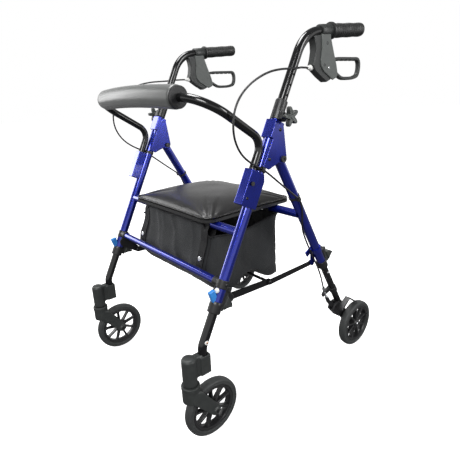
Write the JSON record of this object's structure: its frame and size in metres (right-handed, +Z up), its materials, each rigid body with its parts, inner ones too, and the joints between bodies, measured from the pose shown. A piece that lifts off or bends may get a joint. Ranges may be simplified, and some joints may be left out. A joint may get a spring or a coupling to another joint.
{
  "type": "rollator walker",
  "caption": "Folding wheeled walker with swivelling front casters, fixed rear wheels, padded lift-up seat over a fabric bag, padded backrest bar, height-adjustable handles and loop brake levers",
  "frame": {"origin": "floor level, midway across the width and midway along the length of the whole walker as it stands", "axes": "+Z up, -Y towards the front (direction of travel), +X towards the user's left"},
  "size_m": [0.605, 0.7391, 0.9743],
  "materials": {
    "frame_blue": "glossy metallic coat",
    "hardware_dark": "black plated",
    "plastic_black": "moulded",
    "plastic_grey": "moulded, fine texture",
    "bag_fabric": "woven nylon",
    "tube_black": "gloss black coat",
    "seat_board": "moulded",
    "seat_vinyl": "soft grained vinyl",
    "foam": "closed-cell foam",
    "grip_rubber": "ribbed",
    "cable_jacket": "smooth",
    "rim": "moulded",
    "tyre": "solid, smooth tread",
    "bracket": "moulded"
  },
  "bodies": {
    "front_frame": {"front_tubes": "frame_blue", "front_crossbars": "frame_blue", "gusset_plates": "frame_blue", "hinge_bolts": "hardware_dark", "backrest_sockets": "frame_blue", "front_tube_collars": "plastic_black", "frame_bumpers": "plastic_black", "front_brace_brackets": "plastic_grey", "front_cable_clips": "plastic_black", "storage_bag": "bag_fabric", "brake_cable_left": "cable_jacket", "brake_cable_right": "cable_jacket"},
    "rear_frame": {"rear_legs": "frame_blue", "rear_seat_bar": "frame_blue", "rear_leg_collars": "plastic_black", "rear_brace_lugs": "frame_blue", "rear_cable_clips": "plastic_black"},
    "brace_front": {"brace_front_links": "tube_black"},
    "brace_rear": {"brace_rear_links": "tube_black"},
    "seat": {"seat_board": "seat_board", "seat_pad": "seat_vinyl"},
    "backrest": {"backrest_tube": "tube_black", "backrest_pad": "foam", "backrest_end_caps": "plastic_black"},
    "backrest_button_left": {"backrest_button_left": "plastic_black"},
    "handle_left": {"handle_tube_left": "tube_black", "grip_left": "grip_rubber", "brake_housing_left": "plastic_grey"},
    "brake_lever_left": {"brake_lever_left": "plastic_grey"},
    "height_knob_left": {"height_knob_left": "plastic_grey"},
    "front_leg_left": {"front_leg_tube_left": "tube_black", "caster_mount_left": "plastic_grey"},
    "caster_left": {"caster_fork_left": "plastic_grey"},
    "front_wheel_left": {"front_rim_left": "rim", "front_tyre_left": "tyre"},
    "rear_leg_left": {"rear_leg_tube_left": "tube_black", "rear_axle_bracket_left": "bracket"},
    "brake_shoe_left": {"brake_shoe_left": "bracket"},
    "rear_wheel_left": {"rear_rim_left": "rim", "rear_tyre_left": "tyre"},
    "front_lock_left": {"front_lock_lever_left": "plastic_grey"},
    "rear_lock_left": {"rear_lock_lever_left": "plastic_grey"},
    "backrest_button_right": {"backrest_button_right": "plastic_black"},
    "handle_right": {"handle_tube_right": "tube_black", "grip_right": "grip_rubber", "brake_housing_right": "plastic_grey"},
    "brake_lever_right": {"brake_lever_right": "plastic_grey"},
    "height_knob_right": {"height_knob_right": "plastic_grey"},
    "front_leg_right": {"front_leg_tube_right": "tube_black", "caster_mount_right": "plastic_grey"},
    "caster_right": {"caster_fork_right": "plastic_grey"},
    "front_wheel_right": {"front_rim_right": "rim", "front_tyre_right": "tyre"},
    "rear_leg_right": {"rear_leg_tube_right": "tube_black", "rear_axle_bracket_right": "bracket"},
    "brake_shoe_right": {"brake_shoe_right": "bracket"},
    "rear_wheel_right": {"rear_rim_right": "rim", "rear_tyre_right": "tyre"},
    "front_lock_right": {"front_lock_lever_right": "plastic_grey"},
    "rear_lock_right": {"rear_lock_lever_right": "plastic_grey"}
  },
  "joints": [
    {"name": "fold_hinge", "type": "hinge", "parent": "front_frame", "child": "rear_frame", "pos_m": [0, -0.051, 0.66], "axis": [-1, 0, 0], "range_deg": [0, 38], "deforming": ["storage_bag", "brake_cable_left", "brake_cable_right"]},
    {"name": "brace_front_pivot", "type": "hinge", "parent": "front_frame", "child": "brace_front", "pos_m": [0, -0.201, 0.337], "axis": [1, 0, 0], "range_deg": [0, 79.8]},
    {"name": "brace_rear_pivot", "type": "hinge", "parent": "rear_frame", "child": "brace_rear", "pos_m": [0, 0.112, 0.3345], "axis": [1, 0, 0], "range_deg": [-39.1, 0]},
    {"name": "seat_lift", "type": "hinge", "parent": "front_frame", "child": "seat", "pos_m": [0, -0.18, 0.504], "axis": [1, 0, 0], "range_deg": [0, 90]},
    {"name": "backrest_slide", "type": "slide", "parent": "front_frame", "child": "backrest", "axis": [0, 0.4478, 0.8942], "range_m": [0, 0.07]},
    {"name": "backrest_button_press_left", "type": "slide", "parent": "front_frame", "child": "backrest_button_left", "axis": [-1, 0, 0], "range_m": [0, 0.002], "stiffness_N_per_m": 600},
    {"name": "handle_slide_left", "type": "slide", "parent": "front_frame", "child": "handle_left", "axis": [0, 0.4478, 0.8942], "range_m": [-0.1, 0.02], "deforming": ["brake_cable_left"]},
    {"name": "brake_lever_pivot_left", "type": "hinge", "parent": "handle_left", "child": "brake_lever_left", "pos_m": [0.255, 0.118, 0.862], "axis": [1, 0, 0], "range_deg": [-12, 14], "stiffness_Nm_per_rad": 4},
    {"name": "height_knob_turn_left", "type": "hinge", "parent": "front_frame", "child": "height_knob_left", "pos_m": [0.255, -0.05477, 0.75645], "axis": [1, 0, 0], "continuous": true},
    {"name": "front_leg_slide_left", "type": "slide", "parent": "front_frame", "child": "front_leg_left", "axis": [0, -0.4478, -0.8942], "range_m": [-0.05, 0.03]},
    {"name": "caster_swivel_left", "type": "hinge", "parent": "front_leg_left", "child": "caster_left", "pos_m": [0.255, -0.346, 0.2], "axis": [0, 0, 1], "continuous": true},
    {"name": "front_wheel_spin_left", "type": "hinge", "parent": "caster_left", "child": "front_wheel_left", "pos_m": [0.255, -0.2895, 0.076], "axis": [1, 0, 0], "continuous": true},
    {"name": "rear_leg_slide_left", "type": "slide", "parent": "rear_frame", "child": "rear_leg_left", "axis": [0, 0.5, -0.866], "range_m": [-0.05, 0.03], "deforming": ["brake_cable_left"]},
    {"name": "brake_shoe_pivot_left", "type": "hinge", "parent": "rear_leg_left", "child": "brake_shoe_left", "pos_m": [0.255, 0.208, 0.16], "axis": [1, 0, 0], "range_deg": [-1.6, 1.4]},
    {"name": "rear_wheel_spin_left", "type": "hinge", "parent": "rear_leg_left", "child": "rear_wheel_left", "pos_m": [0.282, 0.2946, 0.076], "axis": [1, 0, 0], "continuous": true},
    {"name": "front_lock_pivot_left", "type": "hinge", "parent": "front_frame", "child": "front_lock_left", "pos_m": [0.255, -0.22181, 0.37374], "axis": [1, 0, 0], "range_deg": [0, 55]},
    {"name": "rear_lock_pivot_left", "type": "hinge", "parent": "rear_frame", "child": "rear_lock_left", "pos_m": [0.255, 0.13705, 0.37828], "axis": [1, 0, 0], "range_deg": [0, 55]},
    {"name": "backrest_button_press_right", "type": "slide", "parent": "front_frame", "child": "backrest_button_right", "axis": [1, 0, 0], "range_m": [0, 0.002], "stiffness_N_per_m": 600},
    {"name": "handle_slide_right", "type": "slide", "parent": "front_frame", "child": "handle_right", "axis": [0, 0.4478, 0.8942], "range_m": [-0.1, 0.02], "deforming": ["brake_cable_right"]},
    {"name": "brake_lever_pivot_right", "type": "hinge", "parent": "handle_right", "child": "brake_lever_right", "pos_m": [-0.255, 0.118, 0.862], "axis": [1, 0, 0], "range_deg": [-12, 14], "stiffness_Nm_per_rad": 4},
    {"name": "height_knob_turn_right", "type": "hinge", "parent": "front_frame", "child": "height_knob_right", "pos_m": [-0.255, -0.05477, 0.75645], "axis": [-1, 0, 0], "continuous": true},
    {"name": "front_leg_slide_right", "type": "slide", "parent": "front_frame", "child": "front_leg_right", "axis": [0, -0.4478, -0.8942], "range_m": [-0.05, 0.03]},
    {"name": "caster_swivel_right", "type": "hinge", "parent": "front_leg_right", "child": "caster_right", "pos_m": [-0.255, -0.346, 0.2], "axis": [0, 0, 1], "continuous": true},
    {"name": "front_wheel_spin_right", "type": "hinge", "parent": "caster_right", "child": "front_wheel_right", "pos_m": [-0.255, -0.2895, 0.076], "axis": [1, 0, 0], "continuous": true},
    {"name": "rear_leg_slide_right", "type": "slide", "parent": "rear_frame", "child": "rear_leg_right", "axis": [0, 0.5, -0.866], "range_m": [-0.05, 0.03], "deforming": ["brake_cable_right"]},
    {"name": "brake_shoe_pivot_right", "type": "hinge", "parent": "rear_leg_right", "child": "brake_shoe_right", "pos_m": [-0.255, 0.208, 0.16], "axis": [1, 0, 0], "range_deg": [-1.6, 1.4]},
    {"name": "rear_wheel_spin_right", "type": "hinge", "parent": "rear_leg_right", "child": "rear_wheel_right", "pos_m": [-0.282, 0.2946, 0.076], "axis": [1, 0, 0], "continuous": true},
    {"name": "front_lock_pivot_right", "type": "hinge", "parent": "front_frame", "child": "front_lock_right", "pos_m": [-0.255, -0.22181, 0.37374], "axis": [1, 0, 0], "range_deg": [0, 55]},
    {"name": "rear_lock_pivot_right", "type": "hinge", "parent": "rear_frame", "child": "rear_lock_right", "pos_m": [-0.255, 0.13705, 0.37828], "axis": [1, 0, 0], "range_deg": [0, 55]}
  ],
  "couplings": [
    {"joint": "brace_front_pivot", "follows": "fold_hinge", "ratio": 2.0741},
    {"joint": "brace_rear_pivot", "follows": "fold_hinge", "ratio": -1.0028},
    {"joint": "brake_shoe_pivot_left", "follows": "brake_lever_pivot_left", "ratio": -0.1},
    {"joint": "brake_shoe_pivot_right", "follows": "brake_lever_pivot_right", "ratio": -0.1}
  ]
}
